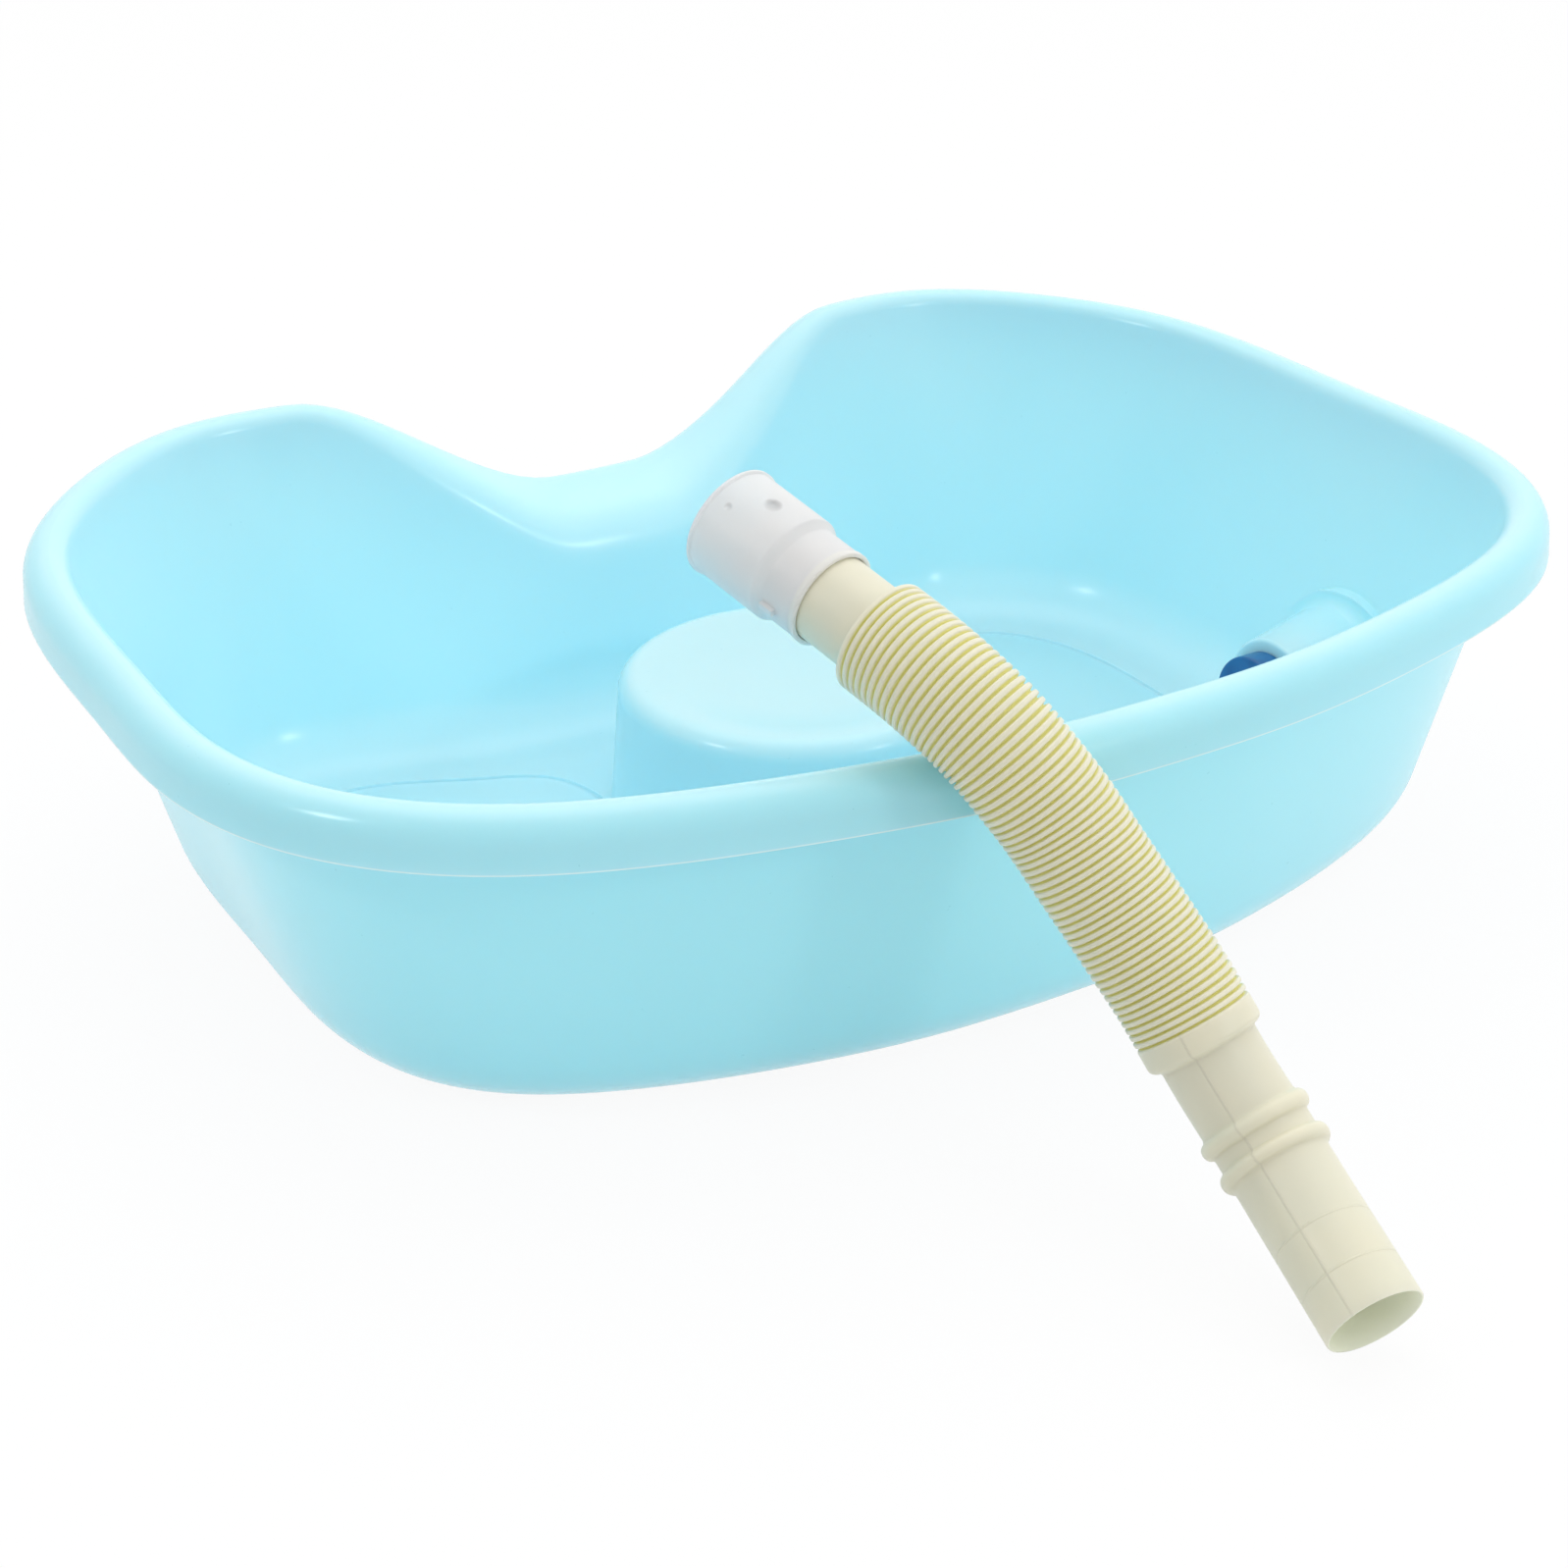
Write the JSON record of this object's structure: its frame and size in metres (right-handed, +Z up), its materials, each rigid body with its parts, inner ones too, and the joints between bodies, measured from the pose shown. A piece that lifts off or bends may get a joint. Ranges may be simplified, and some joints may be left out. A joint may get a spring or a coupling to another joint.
{
  "type": "portable shampoo basin",
  "caption": "Low hair-washing basin with a neck notch, a round head rest, a side drain with a push-in stopper and a loose ribbed drain hose with a clear adapter sleeve",
  "frame": {"origin": "bottom centre of the basin's bounding box, at floor level", "axes": "+Z up, +X towards the drain's end, +Y towards the neck notch at the back, -Y the curved front that the hose lies over"},
  "size_m": [0.4992, 0.5081, 0.186],
  "materials": {
    "basin_plastic": "glossy injection-moulded polypropylene, light sky blue",
    "plug_plastic": "smooth moulded plastic, dark blue",
    "hose_plastic": "blow-moulded polyethylene, cream, slightly translucent",
    "sleeve_plastic": "injection-moulded polyethylene, milky and translucent"
  },
  "bodies": {
    "basin": {"basin": "basin_plastic"},
    "plug": {"drain_plug": "plug_plastic"},
    "hose": {"drain_hose": "hose_plastic"},
    "sleeve": {"hose_sleeve": "sleeve_plastic"}
  },
  "joints": [
    {"name": "plug_pull", "type": "slide", "parent": "basin", "child": "plug", "axis": [-1, 0, 0], "range_m": [0, 0.025]},
    {"name": "hose_lift", "type": "slide", "parent": "basin", "child": "hose", "axis": [0, 0, 1], "range_m": [0, 0.1]},
    {"name": "sleeve_pull", "type": "slide", "parent": "hose", "child": "sleeve", "axis": [-0.2074, 0.9365, 0.2826], "range_m": [0, 0.02]}
  ]
}
